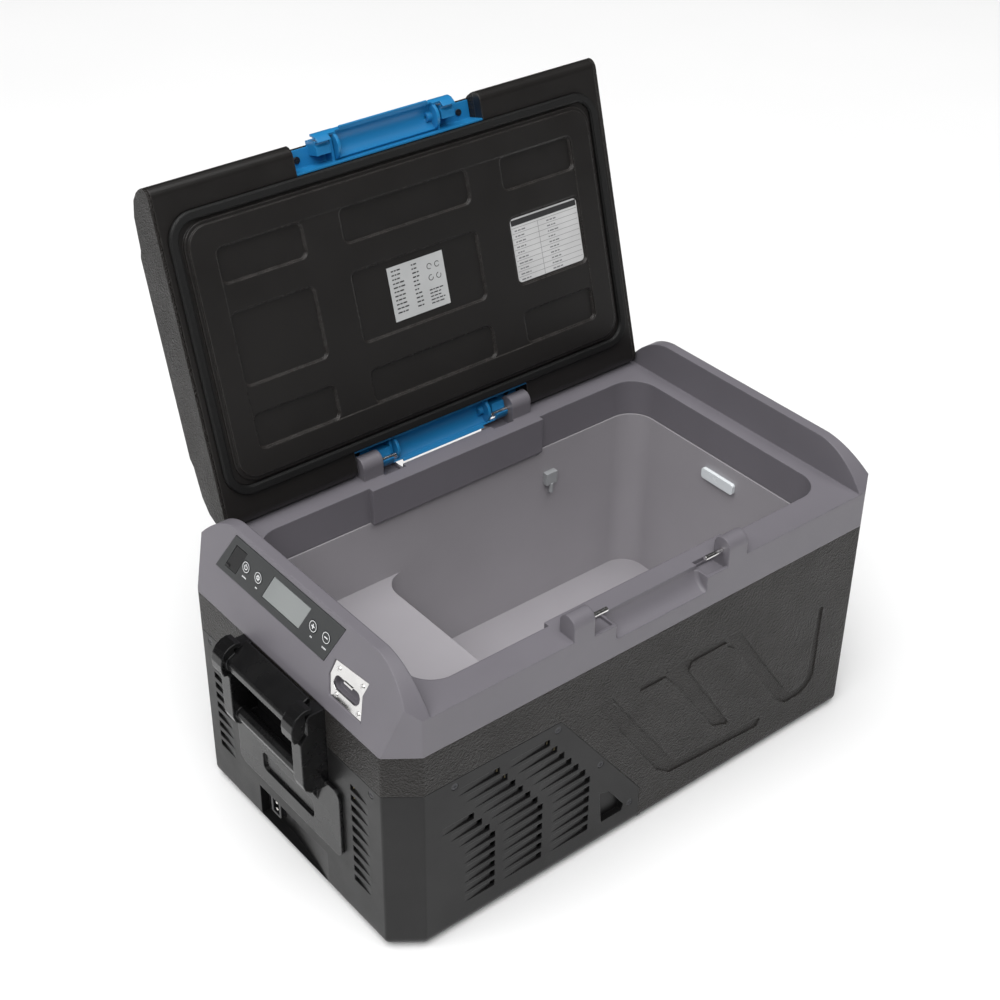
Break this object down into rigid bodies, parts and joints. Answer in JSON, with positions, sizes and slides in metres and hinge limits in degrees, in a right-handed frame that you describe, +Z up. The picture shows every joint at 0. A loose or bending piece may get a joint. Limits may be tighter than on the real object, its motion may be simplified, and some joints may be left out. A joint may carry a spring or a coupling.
{
  "type": "compressor cooler fridge",
  "caption": "Portable chest fridge with an open latching lid, sloping control end, side carrying handles, vented machine bay and insulated storage tub.",
  "frame": {"origin": "centre of the cabinet's footprint on the floor, midway between the four rubber feet and 3 mm below the flat underside", "axes": "+X along the cabinet towards the storage end, -X the machine and control end, -Y the front with the machine vents, +Y the side the lid hinges on, +Z up"},
  "size_m": [0.643, 0.4184, 0.5739],
  "materials": {
    "body_plastic": "fine leather-grain texture, dark charcoal",
    "cover_plastic": "smooth satin, dark charcoal",
    "frame_plastic": "smooth satin, light grey",
    "liner_plastic": "food-grade, light grey",
    "foam": "foamed-in-place, matt",
    "tube_metal": "mill finish",
    "copper_tube": "drawn tube",
    "light_lens": "diffusing",
    "sensor_plastic": "satin",
    "tray_steel": "galvanised, satin",
    "compressor_steel": "semi-gloss black",
    "mount_rubber": "matt",
    "fin_metal": "mill finish",
    "fan_plastic": "satin black",
    "board": "solder mask",
    "inlet_plastic": "semi-gloss black",
    "brass_pin": "plated",
    "foot_rubber": "matt",
    "panel_plastic": "satin, dark slate",
    "display": "gloss lens",
    "button_plastic": "satin with white symbol",
    "flap_rubber": "matt",
    "socket_metal": "stamped",
    "polished_steel": "polished",
    "screw_steel": "blackened",
    "pin_steel": "bright drawn",
    "handle_plastic": "satin, dark charcoal",
    "lid_plastic": "fine leather-grain texture, dark charcoal",
    "lid_panel_plastic": "satin, near black",
    "gasket_rubber": "matt, soft",
    "label_film": null,
    "label_white": null,
    "latch_blue": "satin, blue",
    "spring_steel": "bright"
  },
  "bodies": {
    "cabinet": {"body_shell": "body_plastic", "machine_cover": "cover_plastic", "cover_screws": "screw_steel", "top_frame": "frame_plastic", "inner_liner": "liner_plastic", "foam_insulation": "foam", "evaporator_coil": "tube_metal", "interior_light": "light_lens", "temperature_sensor": "sensor_plastic", "base_tray": "tray_steel", "compressor": "compressor_steel", "compressor_mounts": "mount_rubber", "condenser_fins": "fin_metal", "condenser_tube": "copper_tube", "fan_shroud": "fan_plastic", "fan_motor": "fan_plastic", "filter_drier": "copper_tube", "suction_pipe": "copper_tube", "discharge_pipe": "copper_tube", "power_board": "board", "dc_inlet": "inlet_plastic", "dc_inlet_pins": "brass_pin", "rubber_feet": "foot_rubber", "control_panel": "panel_plastic", "display_lens": "display", "control_board": "board", "usb_socket": "socket_metal", "bottle_opener": "polished_steel", "opener_screws": "pin_steel", "front_steel_pins": "pin_steel", "rear_steel_pins": "pin_steel", "left_handle_bracket": "handle_plastic", "left_handle_pins": "pin_steel", "right_handle_bracket": "handle_plastic", "right_handle_pins": "pin_steel"},
    "lid": {"lid_shell": "lid_plastic", "lid_inner_panel": "lid_panel_plastic", "lid_gasket": "gasket_rubber", "lid_foam": "foam", "rating_label": "label_film", "storage_label": "label_white", "front_latch_bracket": "latch_blue", "rear_latch_bracket": "latch_blue", "front_latch_pivots": "pin_steel", "rear_latch_pivots": "pin_steel", "latch_bracket_screws": "screw_steel", "front_latch_springs": "spring_steel", "rear_latch_springs": "spring_steel"},
    "front_latch": {"front_latch_bar": "latch_blue"},
    "rear_latch": {"rear_latch_bar": "latch_blue"},
    "left_grip": {"left_handle_grip": "handle_plastic"},
    "right_grip": {"right_handle_grip": "handle_plastic"},
    "fan": {"fan_rotor": "fan_plastic"},
    "usb_cover": {"usb_flap": "flap_rubber"},
    "power_key": {"power_button": "button_plastic"},
    "settings_key": {"settings_button": "button_plastic"},
    "plus_key": {"plus_button": "button_plastic"},
    "minus_key": {"minus_button": "button_plastic"}
  },
  "joints": [
    {"name": "lid_hinge", "type": "hinge", "parent": "cabinet", "child": "lid", "pos_m": [0, 0.1516, 0.272], "axis": [1, 0, 0], "range_deg": [0, 105.7]},
    {"name": "front_latch_pivot", "type": "hinge", "parent": "lid", "child": "front_latch", "pos_m": [0, 0.24093, 0.55654], "axis": [-1, 0, 0], "range_deg": [0, 36], "stiffness_Nm_per_rad": 0.1, "springref_deg": -14.32},
    {"name": "rear_latch_pivot", "type": "hinge", "parent": "lid", "child": "rear_latch", "pos_m": [0, 0.16164, 0.27447], "axis": [1, 0, 0], "range_deg": [0, 36], "stiffness_Nm_per_rad": 0.1, "springref_deg": -14.32},
    {"name": "left_grip_pivot", "type": "hinge", "parent": "cabinet", "child": "left_grip", "pos_m": [-0.299, 0, 0.217], "axis": [0, -1, 0], "range_deg": [0, 10]},
    {"name": "right_grip_pivot", "type": "hinge", "parent": "cabinet", "child": "right_grip", "pos_m": [0.299, 0, 0.217], "axis": [0, 1, 0], "range_deg": [0, 10]},
    {"name": "fan_spin", "type": "hinge", "parent": "cabinet", "child": "fan", "pos_m": [-0.225, -0.071, 0.075], "axis": [1, 0, 0], "continuous": true},
    {"name": "usb_flap_hinge", "type": "hinge", "parent": "cabinet", "child": "usb_cover", "pos_m": [-0.26647, 0.0895, 0.2884], "axis": [0, 1, 0], "range_deg": [0, 55]},
    {"name": "power_press", "type": "slide", "parent": "cabinet", "child": "power_key", "axis": [0.9499, 0, -0.3125], "range_m": [0, 0.0008], "stiffness_N_per_m": 300},
    {"name": "settings_press", "type": "slide", "parent": "cabinet", "child": "settings_key", "axis": [0.9499, 0, -0.3125], "range_m": [0, 0.0008], "stiffness_N_per_m": 300},
    {"name": "plus_press", "type": "slide", "parent": "cabinet", "child": "plus_key", "axis": [0.9499, 0, -0.3125], "range_m": [0, 0.0008], "stiffness_N_per_m": 300},
    {"name": "minus_press", "type": "slide", "parent": "cabinet", "child": "minus_key", "axis": [0.9499, 0, -0.3125], "range_m": [0, 0.0008], "stiffness_N_per_m": 300}
  ]
}
